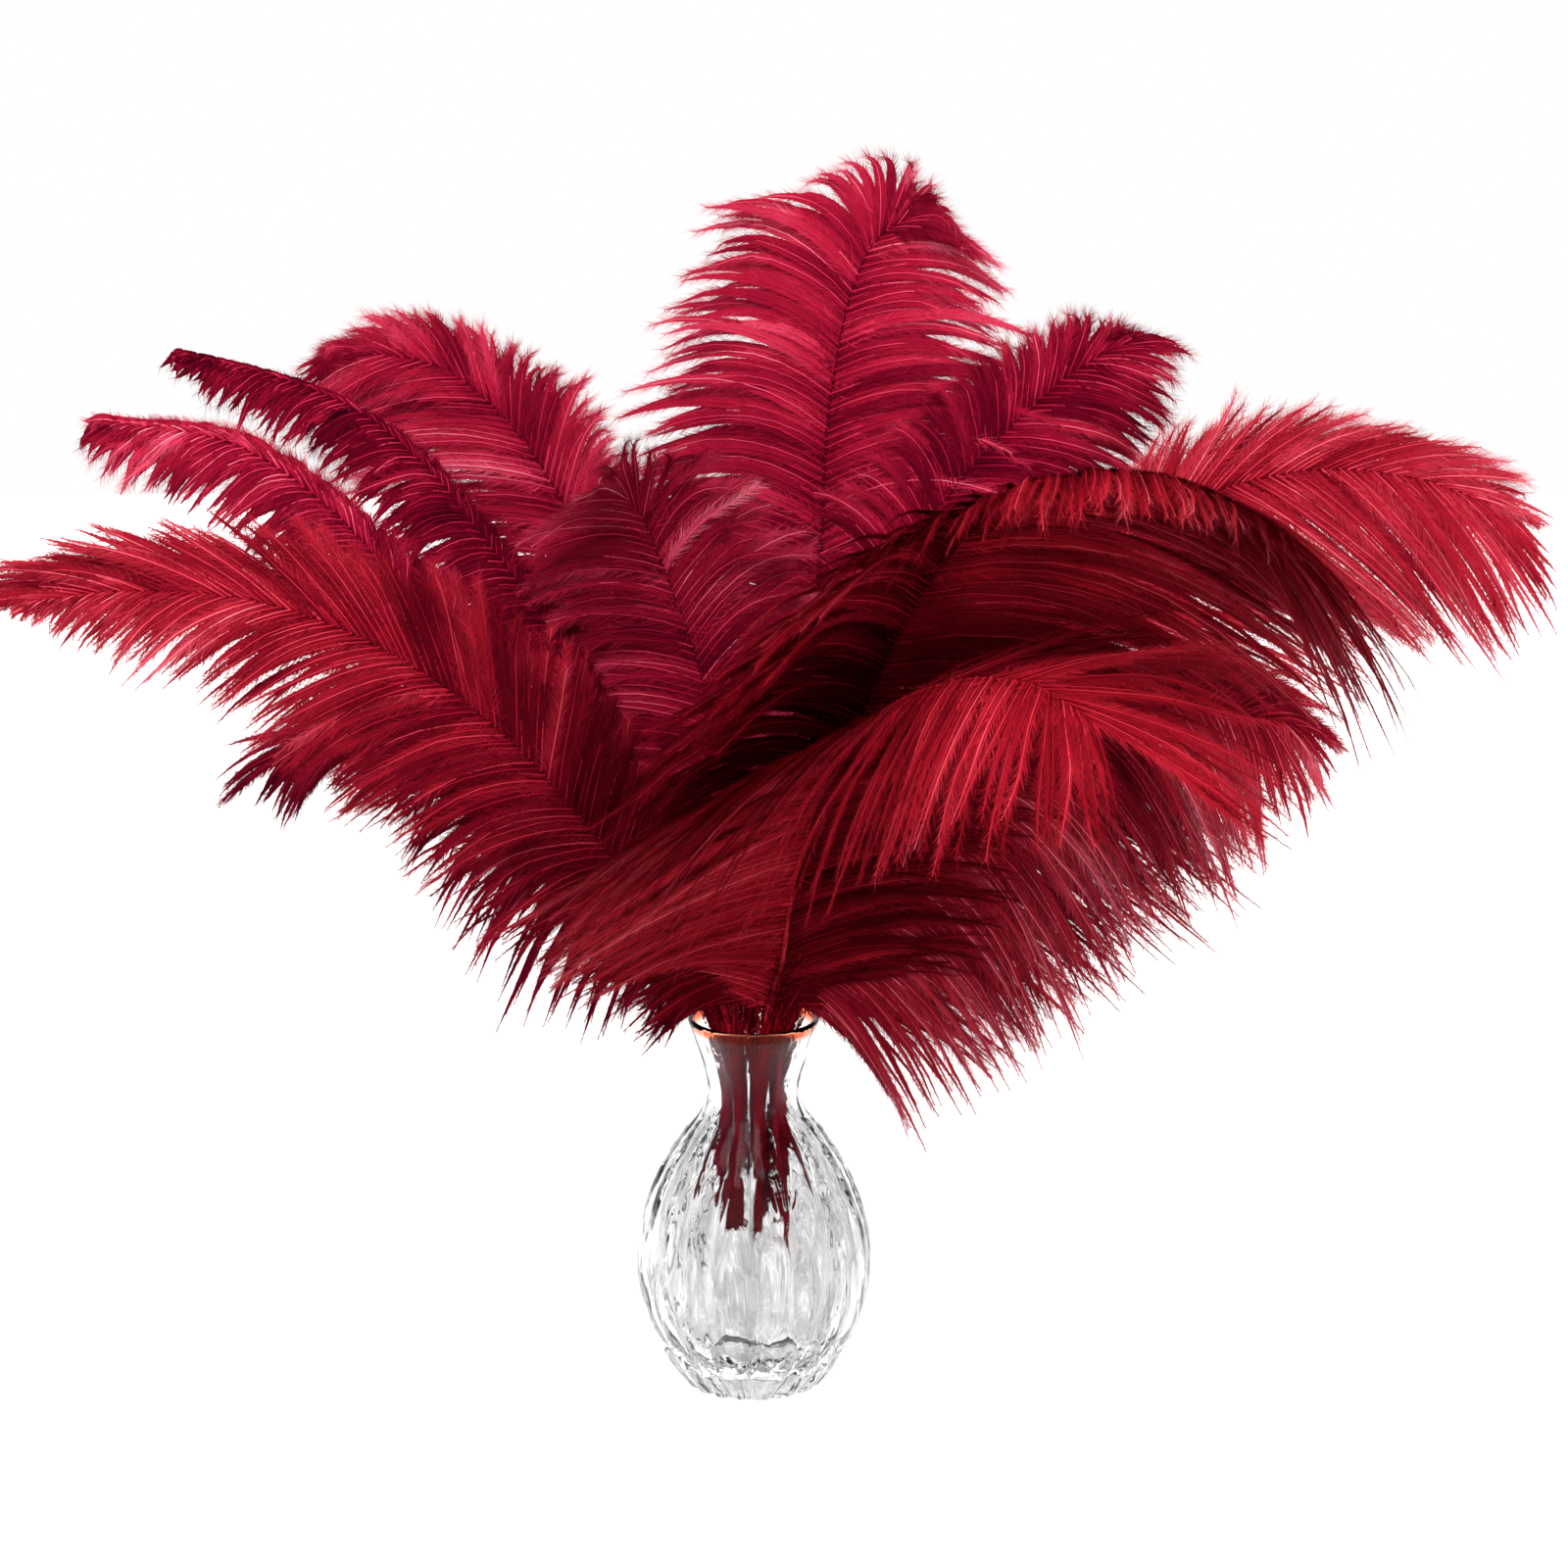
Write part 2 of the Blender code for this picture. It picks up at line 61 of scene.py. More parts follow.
def meshFromArrays(name, points, quads, triangles, tones=None):
    # points (n,3) in mm; quads (q,4) and triangles (t,3) index into them; tones has one value per point
    mesh = bpy.data.meshes.new(name)
    mesh.vertices.add(len(points))
    mesh.vertices.foreach_set("co", (points * mm).astype(np.float32).ravel())
    corners = np.concatenate([quads.ravel(), triangles.ravel()]).astype(np.int32)
    sizes = np.concatenate([np.full(len(quads), 4), np.full(len(triangles), 3)])
    starts = np.concatenate([[0], np.cumsum(sizes)[:-1]]).astype(np.int32)
    mesh.loops.add(len(corners))
    mesh.loops.foreach_set("vertex_index", corners)
    mesh.polygons.add(len(sizes))
    mesh.polygons.foreach_set("loop_start", starts)
    mesh.polygons.foreach_set("use_smooth", np.ones(len(sizes), bool))
    if tones is not None:
        mesh.attributes.new("tone", 'FLOAT', 'POINT').data.foreach_set("value", tones.astype(np.float32))
    mesh.update(calc_edges=True)
    return addObject(name, mesh)


def tubeFaces(rows, columns):
    # quads between rings of points laid out row after row, and a fan of triangles at either end;
    # the fans' own points come after the rings, the first row's before the last row's
    row, column = np.meshgrid(np.arange(rows - 1), np.arange(columns), indexing="ij")
    after = (column + 1) % columns
    quads = np.stack([row * columns + column, row * columns + after,
                      (row + 1) * columns + after, (row + 1) * columns + column], axis=-1).reshape(-1, 4)
    index = np.arange(columns)
    after = (index + 1) % columns
    lastRow = (rows - 1) * columns
    first = np.stack([np.full(columns, rows * columns), after, index], axis=-1)
    last = np.stack([np.full(columns, rows * columns + 1), lastRow + index, lastRow + after], axis=-1)
    return quads, np.vstack([first, last])


def ribbonQuads(count, stations):
    # quads along ribbons whose points come station after station, two at each
    base = (np.arange(count) * stations)[:, None] + np.arange(stations - 1)[None]
    return np.stack([base * 2, base * 2 + 1, base * 2 + 3, base * 2 + 2], axis=-1).reshape(-1, 4)


noQuads = np.zeros((0, 4), int)
noTriangles = np.zeros((0, 3), int)


# Materials

def setSockets(node, settings):
    # each named input of the node gets its value
    for socket, value in settings.items():
        node.inputs[socket].default_value = value


def principled(name, settings):
    # a new material with the settings written on its shader's own sockets
    material = bpy.data.materials.new(name)
    material.use_nodes = True
    nodes, links = material.node_tree.nodes, material.node_tree.links
    setSockets(nodes["Principled BSDF"], settings)
    return material, nodes, links, nodes["Principled BSDF"]


def noiseNode(nodes, settings):
    # a noise texture with the settings given
    noise = nodes.new("ShaderNodeTexNoise")
    setSockets(noise, settings)
    return noise


def rampNode(nodes, stops):
    # a colour ramp; its own two elements take the outer stops, and the others are added between them
    node = nodes.new("ShaderNodeValToRGB")
    elements = node.color_ramp.elements
    for element, (position, colour) in zip(list(elements), (stops[0], stops[-1])):
        element.position = position
        element.color = (*colour, 1.0)
    for position, colour in stops[1:-1]:
        elements.new(position).color = (*colour, 1.0)
    return node


barbFinish = {
    "warm": {"slot": "warm_barbs",
             "stops": [(0.0, (0.010, 0.0002, 0.001)), (0.35, (0.10, 0.0018, 0.005)),
                       (0.60, (0.30, 0.006, 0.015)), (0.82, (0.50, 0.028, 0.048)),
                       (1.0, (0.72, 0.15, 0.19))]},
    "rose": {"slot": "warm_barbs",
             "stops": [(0.0, (0.012, 0.0002, 0.002)), (0.35, (0.11, 0.0016, 0.007)),
                       (0.60, (0.31, 0.008, 0.020)), (0.82, (0.52, 0.040, 0.068)),
                       (1.0, (0.76, 0.20, 0.26))]},
    "cool": {"slot": "cool_barbs",
             "stops": [(0.0, (0.012, 0.0002, 0.003)), (0.35, (0.10, 0.0012, 0.009)),
                       (0.60, (0.29, 0.006, 0.024)), (0.82, (0.50, 0.032, 0.075)),
                       (1.0, (0.72, 0.18, 0.25))]},
}
barbSurface = {
    "shader": {"Roughness": 0.55, "Specular IOR Level": 0.0},
    "clouds": {"Scale": 45.0, "Detail": 3.0},
    "cloudShare": 0.30, "cloudMiddle": -0.15,
}


def barbMaterial(name, stops):
    # base colour = ramp(tone + cloudShare * noise + cloudMiddle), from near black through crimson to pink
    material, nodes, links, shader = principled(name, barbSurface["shader"])
    tone = nodes.new("ShaderNodeAttribute")
    tone.attribute_name = "tone"
    place = nodes.new("ShaderNodeTexCoord")
    clouds = noiseNode(nodes, barbSurface["clouds"])
    centred = nodes.new("ShaderNodeMath")
    centred.operation = 'ADD'
    centred.inputs[1].default_value = barbSurface["cloudMiddle"]
    shifted = nodes.new("ShaderNodeMath")
    shifted.operation = 'MULTIPLY_ADD'
    shifted.inputs[1].default_value = barbSurface["cloudShare"]
    ramp = rampNode(nodes, stops)
    links.new(place.outputs["Object"], clouds.inputs["Vector"])
    links.new(tone.outputs["Fac"], centred.inputs[0])
    links.new(clouds.outputs["Fac"], shifted.inputs[0])
    links.new(centred.outputs["Value"], shifted.inputs[2])
    links.new(shifted.outputs["Value"], ramp.inputs["Fac"])
    links.new(ramp.outputs["Color"], shader.inputs["Base Color"])
    return material


# the neck's share, the lip's share and rippleStrength: lower height and upper height in metres, value
# below, value above; the glass's grey bands with thin white lines, and the amber at the lip, are painted
# reflections
glassFinish = {
    "shader": {"Roughness": 0.015, "IOR": 1.42, "Transmission Weight": 1.0,
               "Specular Tint": (0.08, 0.08, 0.08, 1.0)},
    "stretch": (1.0, 1.0, 0.16),
    "reflectionStreaks": {"Scale": 170.0, "Detail": 1.0, "Distortion": 0.9},
    "reflectionGreys": [(0.40, 0.56), (0.475, 0.62), (0.50, 1.0), (0.525, 0.66), (0.62, 0.88)],
    "neckColour": (1.0, 1.0, 1.0, 1.0), "neckShare": (0.082, 0.094, 0.0, 0.5),
    "lipReflection": (0.86, 0.10, 0.008, 1.0), "lipReflectionShare": (0.1155, 0.1175, 0.0, 0.95),
    "ripple": {"Scale": 130.0, "Detail": 2.0, "Distortion": 0.5},
    "rippleDepth": 0.0020, "rippleStrength": (0.086, 0.097, 0.5, 0.3),
}


def glassMaterial():
    # clear glass: colour = greys(noise), grey bands and thin white lines that are painted reflections,
    # mixed by height towards white at the neck and towards amber, a painted reflection of the feathers, at
    # the lip;
    # bump = a second noise; both noises are drawn out upwards, and the bump makes reflections waver
    material, nodes, links, shader = principled("clear_ribbed_glass", glassFinish["shader"])
    place = nodes.new("ShaderNodeTexCoord")
    stretch = nodes.new("ShaderNodeMapping")
    stretch.inputs["Scale"].default_value = glassFinish["stretch"]
    height = nodes.new("ShaderNodeSeparateXYZ")
    links.new(place.outputs["Object"], stretch.inputs["Vector"])
    links.new(place.outputs["Object"], height.inputs["Vector"])

    def byHeight(low, high, below, above):
        # the value below under the height low, above over the height high, straight between them
        reading = nodes.new("ShaderNodeMapRange")
        setSockets(reading, {"From Min": low, "From Max": high, "To Min": below, "To Max": above})
        links.new(height.outputs["Z"], reading.inputs["Value"])
        return reading.outputs["Result"]

    def mixedTowards(source, colour, share):
        # source colour + (colour - source colour) * share
        mix = nodes.new("ShaderNodeMix")
        mix.data_type = 'RGBA'
        mix.inputs["B"].default_value = colour
        links.new(source, mix.inputs["A"])
        links.new(share, mix.inputs["Factor"])
        return mix.outputs["Result"]

    reflectionStreaks = noiseNode(nodes, glassFinish["reflectionStreaks"])
    greys = rampNode(nodes, [(position, (grey,) * 3) for position, grey in glassFinish["reflectionGreys"]])
    links.new(stretch.outputs["Vector"], reflectionStreaks.inputs["Vector"])
    links.new(reflectionStreaks.outputs["Fac"], greys.inputs["Fac"])
    colour = greys.outputs["Color"]
    colour = mixedTowards(colour, glassFinish["neckColour"], byHeight(*glassFinish["neckShare"]))
    colour = mixedTowards(colour, glassFinish["lipReflection"], byHeight(*glassFinish["lipReflectionShare"]))
    links.new(colour, shader.inputs["Base Color"])
    ripple = noiseNode(nodes, glassFinish["ripple"])
    bump = nodes.new("ShaderNodeBump")
    bump.inputs["Distance"].default_value = glassFinish["rippleDepth"]
    links.new(stretch.outputs["Vector"], ripple.inputs["Vector"])
    links.new(ripple.outputs["Fac"], bump.inputs["Height"])
    links.new(byHeight(*glassFinish["rippleStrength"]), bump.inputs["Strength"])
    links.new(bump.outputs["Normal"], shader.inputs["Normal"])
    return material


# Vase: one closed profile of (radius, height) points turned about the axis, with ribs that waver

vase = {        # millimetres, from the lip down
    "outer": [(20.6, 120.0), (17.4, 109.0), (14.9, 99.0), (14.8, 94.0), (17.0, 89.0), (21.8, 82.5),
              (27.6, 73.0), (33.4, 59.0), (36.2, 45.0), (35.8, 33.0), (32.4, 20.0), (26.4, 7.5),
              (21.6, 1.6)],
    "inner": [(18.4, 120.0), (15.0, 109.0), (12.3, 99.0), (12.2, 94.0), (14.2, 88.5), (19.0, 81.5),
              (24.6, 72.0), (30.4, 58.5), (33.2, 45.0), (32.8, 33.0), (29.0, 20.0), (20.0, 9.5)],
    "foot": [(20.9, 0.5), (20.0, 0.0), (18.6, 0.0), (17.2, 0.25), (15.5, 1.2), (9.0, 1.5), (0.0, 1.56)],
    "floorHeight": 8.0, "floorRise": 1.5, "lipRound": 1.1, "bendSteps": 8,
    "ribs": 18, "ribDepth": 0.85, "innerRibDepth": 0.45, "ribTop": 93.0, "ribFade": 20.0,
    "ribFadePower": 1.3, "ribPower": 0.8, "ribSpan": 2.0, "ribSunk": 1.1, "ribFullRadius": 18.0,
    "hollowRadius": 16.0,                                       # within it the foot has no ribs
    "sway": 0.055, "swayTop": 80.0, "swayFade": 40.0,
    "swayWaves": ((1.0, 8.5, 3, 0.0), (0.6, 4.7, 5, 1.3)),      # size, mm of height, turns, start
    "around": 198, "rows": 54, "innerRows": 30,
}
boreRoom = np.array(vase["inner"])[::-1, ::-1].T        # heights from the bottom up, and the inner radii


def throughPoints(points, samples):
    # a smooth line in the plane through a few (radius, height) points, by cubic pieces on their run
    points = np.array(points, float)
    run = np.concatenate([[0.0], np.cumsum(np.linalg.norm(np.diff(points, axis=0), axis=1))])
    slope = np.gradient(points, run, axis=0)
    at = np.linspace(0.0, run[-1], samples)
    piece = np.clip(np.searchsorted(run, at, side="right") - 1, 0, len(run) - 2)
    step = (run[piece + 1] - run[piece])[:, None]
    t = (at - run[piece])[:, None] / step
    return ((2 * t ** 3 - 3 * t ** 2 + 1) * points[piece] + (t ** 3 - 2 * t ** 2 + t) * step * slope[piece]
            + (-2 * t ** 3 + 3 * t ** 2) * points[piece + 1] + (t ** 3 - t ** 2) * step * slope[piece + 1])


def vaseProfile():
    # the profile from the floor's middle up the inside, over the lip, down the outside and under the
    # foot to its middle, with the depth of the ribs at each of its points
    outerLip, top = vase["outer"][0]
    innerLip = vase["inner"][0][0]
    shoulder = top - vase["lipRound"]
    lipAngle = np.linspace(0.0, math.pi, vase["bendSteps"] + 1)[1:-1]
    lip = np.stack([(outerLip + innerLip) / 2 - (outerLip - innerLip) / 2 * np.cos(lipAngle),
                    shoulder + vase["lipRound"] * np.sin(lipAngle)], axis=-1)
    outer = throughPoints([(outerLip, shoulder)] + vase["outer"][1:], vase["rows"])
    inner = throughPoints([(innerLip, shoulder)] + vase["inner"][1:], vase["innerRows"])
    floorAngle = np.linspace(0.0, math.pi / 2, vase["bendSteps"] + 1)[1:]
    innerFloor = np.stack([vase["inner"][-1][0] * np.cos(floorAngle),
                           vase["floorHeight"] + vase["floorRise"] * (1 - np.sin(floorAngle))], axis=-1)
    foot = np.array(vase["foot"])
    depth = [np.zeros(len(innerFloor)), np.full(len(inner), vase["innerRibDepth"]), np.zeros(len(lip)),
             np.full(len(outer), vase["ribDepth"]),
             np.where(foot[:, 0] > vase["hollowRadius"], vase["ribDepth"], 0.0)]
    return np.vstack([innerFloor[::-1], inner[::-1], lip, outer, foot]), np.concatenate(depth)


def makeVase():
    # radius(angle, height) = profile radius + rib depth * fade(height) * lobe(ribs / 2 * (angle + sway))
    profile, depth = vaseProfile()
    around = profile[:, :1]
    height = profile[:, 1:]
    angle = np.linspace(0.0, 2 * math.pi, vase["around"], endpoint=False)
    fade = np.clip((vase["ribTop"] - height) / vase["ribFade"], 0.0, 1.0) ** vase["ribFadePower"]
    sway = vase["sway"] * sum(size * np.sin(height / rise + turns * angle + start)
                              for size, rise, turns, start in vase["swayWaves"])
    sway = sway * np.clip((vase["swayTop"] - height) / vase["swayFade"], 0.0, 1.0)
    lobe = np.abs(np.cos(vase["ribs"] / 2 * (angle + sway))) ** vase["ribPower"]
    lobe = lobe * vase["ribSpan"] - vase["ribSunk"]
    radius = around + depth[:, None] * fade * lobe * np.clip(around / vase["ribFullRadius"], 0.0, 1.0)
    rings = np.stack([radius * np.cos(angle), radius * np.sin(angle), height + 0 * angle], axis=-1)[1:-1]
    middles = [[0.0, 0.0, profile[0, 1]], [0.0, 0.0, profile[-1, 1]]]
    quads, triangles = tubeFaces(len(rings), vase["around"])
    piece = meshFromArrays("ribbed_glass_vase", np.vstack([rings.reshape(-1, 3), middles]),
                           quads[:, ::-1], triangles[:, ::-1])
    piece.data.materials.append(glassMaterial())
    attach(piece, "root")
    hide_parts("vase")


# Plumes: each has a smooth shaft line; barbs leave it and bend with the square of their run

sheaf = {"neckLevel": 96.0, "rimLevel": 123.0, "rimReach": 13.8, "rimBlend": 0.55, "ring": 8.8,
         "inner": 3.6, "vaneStart": 4.0, "lineSteps": 24, "lookRun": 1.5}

# seat: degrees round the neck, and which ring; end: how far out and how high the quill ends;
# shaft: points above the rim; face: where the vane looks at its root and at its tip;
# reach and droop: left and right; lean: degrees off the shaft at root and tip, leanLeft the left side's;
# outline: left and right, each with its root, taper, tip and fall; shade: tones added along left and
# right, painted light and shade mixed with some of the feather's own colour; fade: tones added along
# each barb, painted shade at the root and painted light at the tip; recurve: how far the barbs bend
# back along the shaft
plumes = {
    "feather_front": {
        "seat": (280, "ring"), "end": (1.30, 52), "dye": "warm", "tone": 0.06,
        "shaft": [(9, -25, 146), (11, -40, 166), (16, -60, 195), (26, -82, 226), (43, -101, 247),
                  (64, -114, 257), (82, -123, 257), (96, -130, 250)],
        "face": ((0.1, -1.0, -0.2), (0.0, 0.5, -0.85)), "reach": (76, 78), "lean": (52, 46),
        "leanLeft": (68, 110, 95), "droopLeft": (0.12, 0.24, 0.95), "droop": (0.0, 0.25), "recurve": 0.04,
        "shade": ((0.10, -0.02), (-0.26, -0.02)), "shaftTone": 0.80,
        "outline": ((0.62, 0.48, 0.22, 1.3), (0.85, 0.6, 0.75)), "spacing": 1.25, "pitch": 0.29},
    "feather_right_arch": {
        "seat": (322, "inner"), "end": (1.50, 58), "dye": "warm", "tone": 0.0,
        "shaft": [(13, -22, 157), (25, -42, 203), (37, -60, 241), (51, -80, 276), (69, -103, 303),
                  (93, -125, 319), (120, -140, 322), (148, -150, 311)],
        "face": ((0.1, -1.0, -0.2), (0.1, -0.4, -1.0)), "reach": (86, 112), "lean": (72, 56),
        "leanLeft": (72, 60, 40), "droop": (0.50, 0.46), "recurve": 0.10,
        "shade": ((-0.34, -0.22, 0.10), (-0.22, -0.04, 0.26)), "fade": (-0.16, 0.16), "webWidth": 2.6,
        "outline": ((0.5, 0.25, 0.16, 1.0), (0.35, 0.6, 0.42)),
        "spacing": 1.2, "pitch": 0.31},
    "feather_top": {
        "seat": (50, "ring"), "end": (1.30, 66), "dye": "cool", "tone": 0.03,
        "shaft": [(6, 19, 158), (15, 35, 205), (21, 56, 256), (24, 72, 300), (31, 84, 334),
                  (39, 88, 350), (50, 84, 358)],
        "face": ((0.0, -1.0, 0.1), (0.0, -1.0, 0.2)), "reach": (72, 73), "lean": (66, 54),
        "droop": (0.22, 0.16), "recurve": 0.30, "outline": ((0.3, 0.44, 0.10, 2.4), (0.3, 0.48, 0.12, 2.4)),
        "clump": 0.10, "spacing": 1.4, "webWidth": 3.8, "shade": ((0.0, 0.02), (0.02, 0.06)),
        "fade": (-0.06, 0.12)},
    "feather_far_right": {
        "seat": (350, "ring"), "end": (1.40, 60), "dye": "rose", "tone": 0.04,
        "shaft": [(25, 10, 151), (58, 22, 199), (98, 30, 244), (128, 32, 272), (149, 30, 283),
                  (176, 25, 289), (204, 17, 288), (228, 10, 281)],
        "face": ((0.0, -1.0, 0.2), (0.0, -1.0, 0.3)), "reach": (42, 80), "lean": (80, 28),
        "leanLeft": (50, 36, 20), "droop": (0.20, 0.36), "recurve": 0.0,
        "outline": ((0.3, 0.7, 0.25), (0.7, 0.45, 0.10)), "spacing": 1.4,
        "shade": ((0.0, 0.10), (0.0, 0.10))},
    "feather_low_right": {
        "seat": (322, "ring"), "end": (1.35, 47), "dye": "rose", "tone": 0.0,
        "shaft": [(25, -18, 142), (48, -32, 176), (78, -45, 207), (106, -55, 228), (134, -62, 236),
                  (161, -66, 231)],
        "face": ((0.2, -1.0, 0.3), (0.2, -1.0, 0.4)), "reach": (40, 46), "lean": (78, 50),
        "droop": (0.60, 0.62), "recurve": 0.10, "outline": ((0.7, 0.4, 0.4), (0.80, 0.3, 0.34)),
        "spacing": 1.0, "shade": ((-0.16, 0.02), (0.06, 0.12)), "fade": (-0.10, 0.14)},
    "feather_up_left": {
        "seat": (210, "inner"), "end": (1.50, 70), "dye": "cool", "tone": 0.05,
        "shaft": [(-9, 15, 159), (-24, 30, 193), (-38, 48, 227), (-52, 62, 255), (-67, 72, 279),
                  (-82, 80, 297), (-101, 84, 310), (-128, 82, 315)],
        "face": ((0.0, -1.0, 0.1), (0.0, -1.0, 0.2)), "reach": (68, 46), "lean": (64, 30),
        "droop": (0.25, 0.30), "recurve": 0.10, "outline": ((0.3, 0.5, 0.15), (0.3, 0.5, 0.15)),
        "clump": 0.2, "webWidth": 2.6, "fade": (-0.06, 0.12)},
    "feather_left_high": {
        "seat": (173, "ring"), "end": (1.45, 60), "dye": "cool", "tone": -0.06,
        "shaft": [(-16, 2, 153), (-35, 5, 187), (-51, 8, 221), (-68, 10, 249), (-84, 12, 271),
                  (-102, 14, 293), (-124, 14, 311), (-151, 12, 322), (-175, 8, 329)],
        "face": ((0.5, -0.6, 0.3), (0.6, -0.5, 0.4)), "reach": (52, 30), "lean": (72, 18),
        "droop": (0.72, 0.60), "recurve": 0.0,
        "outline": ((0.4, 0.22, 0.10, 1.05), (0.4, 0.25, 0.10, 1.05)), "clump": 0.6,
        "webWidth": 3.2, "shade": ((-0.12, -0.06), (-0.12, -0.06))},
    "feather_left_mid": {
        "seat": (204, "ring"), "end": (1.60, 62), "dye": "cool", "tone": -0.04,
        "shaft": [(-19, -12, 153), (-42, -22, 185), (-66, -30, 217), (-90, -36, 246),
                  (-108, -40, 270), (-128, -42, 293), (-154, -42, 311), (-192, -40, 318)],
        "face": ((0.5, -0.6, 0.3), (0.1, -0.9, 0.3)), "reach": (50, 32), "lean": (72, 16),
        "droop": (0.72, 0.40), "recurve": 0.0,
        "outline": ((0.4, 0.22, 0.22, 1.1), (0.4, 0.25, 0.26, 1.2)), "clump": 0.6,
        "webWidth": 3.2, "shade": ((-0.18, 0.12), (-0.20, 0.14))},
    "feather_far_left": {
        "seat": (238, "ring"), "end": (1.40, 56), "dye": "rose", "tone": 0.0,
        "shaft": [(-21, -25, 152), (-44, -40, 185), (-70, -52, 220), (-96, -60, 244),
                  (-122, -64, 260), (-153, -66, 270), (-188, -66, 272), (-216, -64, 268)],
        "face": ((0.1, -1.0, 0.2), (0.0, -1.0, 0.2)), "reach": (56, 50), "lean": (58, 18),
        "leanLeft": (58, 40, 12), "droop": (0.40, 0.20), "recurve": 0.0,
        "outline": ((0.30, 0.35, 0.08, 1.3), (0.40, 0.70, 0.30)),
        "shade": ((-0.12, 0.10), (-0.30, 0.12))},
    "feather_low_left": {
        "seat": (142, "ring"), "end": (1.35, 64), "dye": "cool", "tone": -0.02,
        "shaft": [(-24, 20, 139), (-53, 38, 161), (-81, 50, 180), (-106, 58, 191), (-128, 62, 195),
                  (-147, 62, 188)],
        "face": ((0.0, -1.0, 0.3), (0.0, -1.0, 0.3)), "reach": (28, 40), "lean": (64, 30),
        "droop": (0.36, 0.44), "recurve": 0.0, "outline": ((0.30, 0.6, 0.5), (0.6, 0.6, 0.5)),
        "shade": ((-0.12, 0.0), (-0.12, 0.0))},
    "feather_up_right": {
        "seat": (19, "ring"), "end": (1.35, 68), "dye": "cool", "tone": -0.03,
        "shaft": [(17, 16, 158), (30, 37, 204), (45, 52, 245), (64, 62, 276), (84, 70, 296),
                  (101, 74, 310), (117, 74, 319)],
        "face": ((0.0, -1.0, 0.1), (0.0, -1.0, 0.2)), "reach": (52, 64), "lean": (66, 34),
        "droop": (0.22, 0.15), "recurve": 0.25, "outline": ((0.3, 0.35, 0.12), (0.3, 0.35, 0.3)),
        "clump": 0.25, "webWidth": 3.2, "shade": ((-0.12, -0.08), (-0.12, -0.04)),
        "fade": (-0.06, 0.10)},
    "feather_short_left": {
        "seat": (270, "inner"), "end": (1.30, 72), "dye": "cool", "tone": 0.0,
        "shaft": [(-2, 8, 161), (-9, 14, 198), (-18, 17, 232), (-27, 16, 258), (-34, 13, 276),
                  (-39, 8, 284)],
        "face": ((0.0, -1.0, 0.1), (0.0, -1.0, 0.3)), "reach": (56, 60), "lean": (62, 46),
        "droop": (0.30, 0.30), "recurve": 0.10, "outline": ((0.3, 0.5, 0.4), (0.3, 0.5, 0.4)),
        "shade": ((0.02, 0.06), (0.02, 0.06))},
}

# Lengths in mm; noise of lean, rootAngle and turn in radians; tones run from 0, darkest, to 1, palest
barbs = {
    "spacing": 1.5, "shareJitter": 0.22, "barbsInLock": 4.0, "lockSizes": (0.5, 1.5), "clump": 0.50,
    "noise": {"length": (0.04, 0.07), "lean": (0.05, 0.018), "droop": (0.12, 0.12), "lift": (0.05, 0.05),
              "phase": (0.5, 0.12)},                            # slow noise along the vane, own jitter
    "noiseKnots": 14, "lockLength": 0.05, "lockTone": 0.055, "toneJitter": 0.07, "waves": (0.8, 1.8),
    "leftShares": (0.0, 0.4, 1.0), "swellRun": 0.42, "tipLean": 0.22, "tipRun": 0.09,
    "faceWave": (1.2, 1.0, 1.0), "alongWave": (0.84, 0.8, 3.0),     # size in mm, waves, phase
    # fade along each barb: painted shade at the root, painted light at the tip
    "fade": (-0.04, 0.04),                                      # tones added from root to tip
}
# the fine ribbons carry painted highlight tones, darkened near the shaft by painted shade
ribbons = {
    "stations": 8, "rootWidth": 0.50, "tipWidth": 0.12, "taper": 0.7, "proud": 0.80, "proudLoss": 0.8,
    "webWidth": 2.0, "webTone": 0.42, "highlightTones": (0.76, 0.54), "rootShade": 0.22, "rootShadePower": 6,
}
barbules = {
    "pitch": 0.27, "fewest": 6, "lastShare": 0.99, "angle": (8.0, 38.0), "rootAngle": 0.5, "rootRun": 0.04,
    "length": (11.0, 5.5), "lengthSpread": (0.75, 1.15), "tipLength": 0.60, "longest": 0.35, "least": 1.0,
    "turn": 0.15, "sag": 0.06, "width": (0.72, 0.26), "lookAhead": 0.01,
    "tone": 0.48, "toneRise": 0.08, "toneJitter": 0.035, "footTone": -0.02, "endTone": 0.05,
}
tube = {        # the shaft, with its quill
    "quill": 1.30, "tip": 0.25, "taper": 0.8, "around": 6, "rows": 90, "lowEnd": 0.45, "lowEndRun": 6.0,
    "capBelow": 0.6, "capAbove": 0.5, "tone": 0.40, "dark": 0.25, "darkFrom": 0.2, "darkRun": 1 / 3,
    "tipTone": 0.15,
}
down = {        # soft barbs round the quill in the neck; the brush is the lowest share of them
    "count": 120, "stations": 6, "from": 0.03, "to": 1.2, "length": (14.0, 30.0), "lean": (0.06, 0.34),
    "brush": 0.5, "brushReach": 0.92, "brushOver": 2.0, "brushWidth": 1.6, "bulge": (0.3, 2.2),
    "bellyStart": 0.05, "faceTurn": 0.3, "width": 0.25, "widthLoss": 0.7, "barbules": 26,
    "barbuleLength": 5.0, "barbuleSpread": (0.5, 1.1), "barbuleTipLoss": 0.6, "barbuleAhead": 0.88,
    "barbuleOut": 0.45, "barbuleWidth": 0.35, "lookAhead": 0.02, "wall": 0.8, "tipWall": 0.5,
    "freeAbove": 121.0,                                         # height where the wall stops mattering
    # the down's tones sit below the outer barbs': painted shade inside the packed neck of the glass
    "ribbonTone": 0.46, "barbuleTone": 0.38, "toneJitter": 0.04,
}


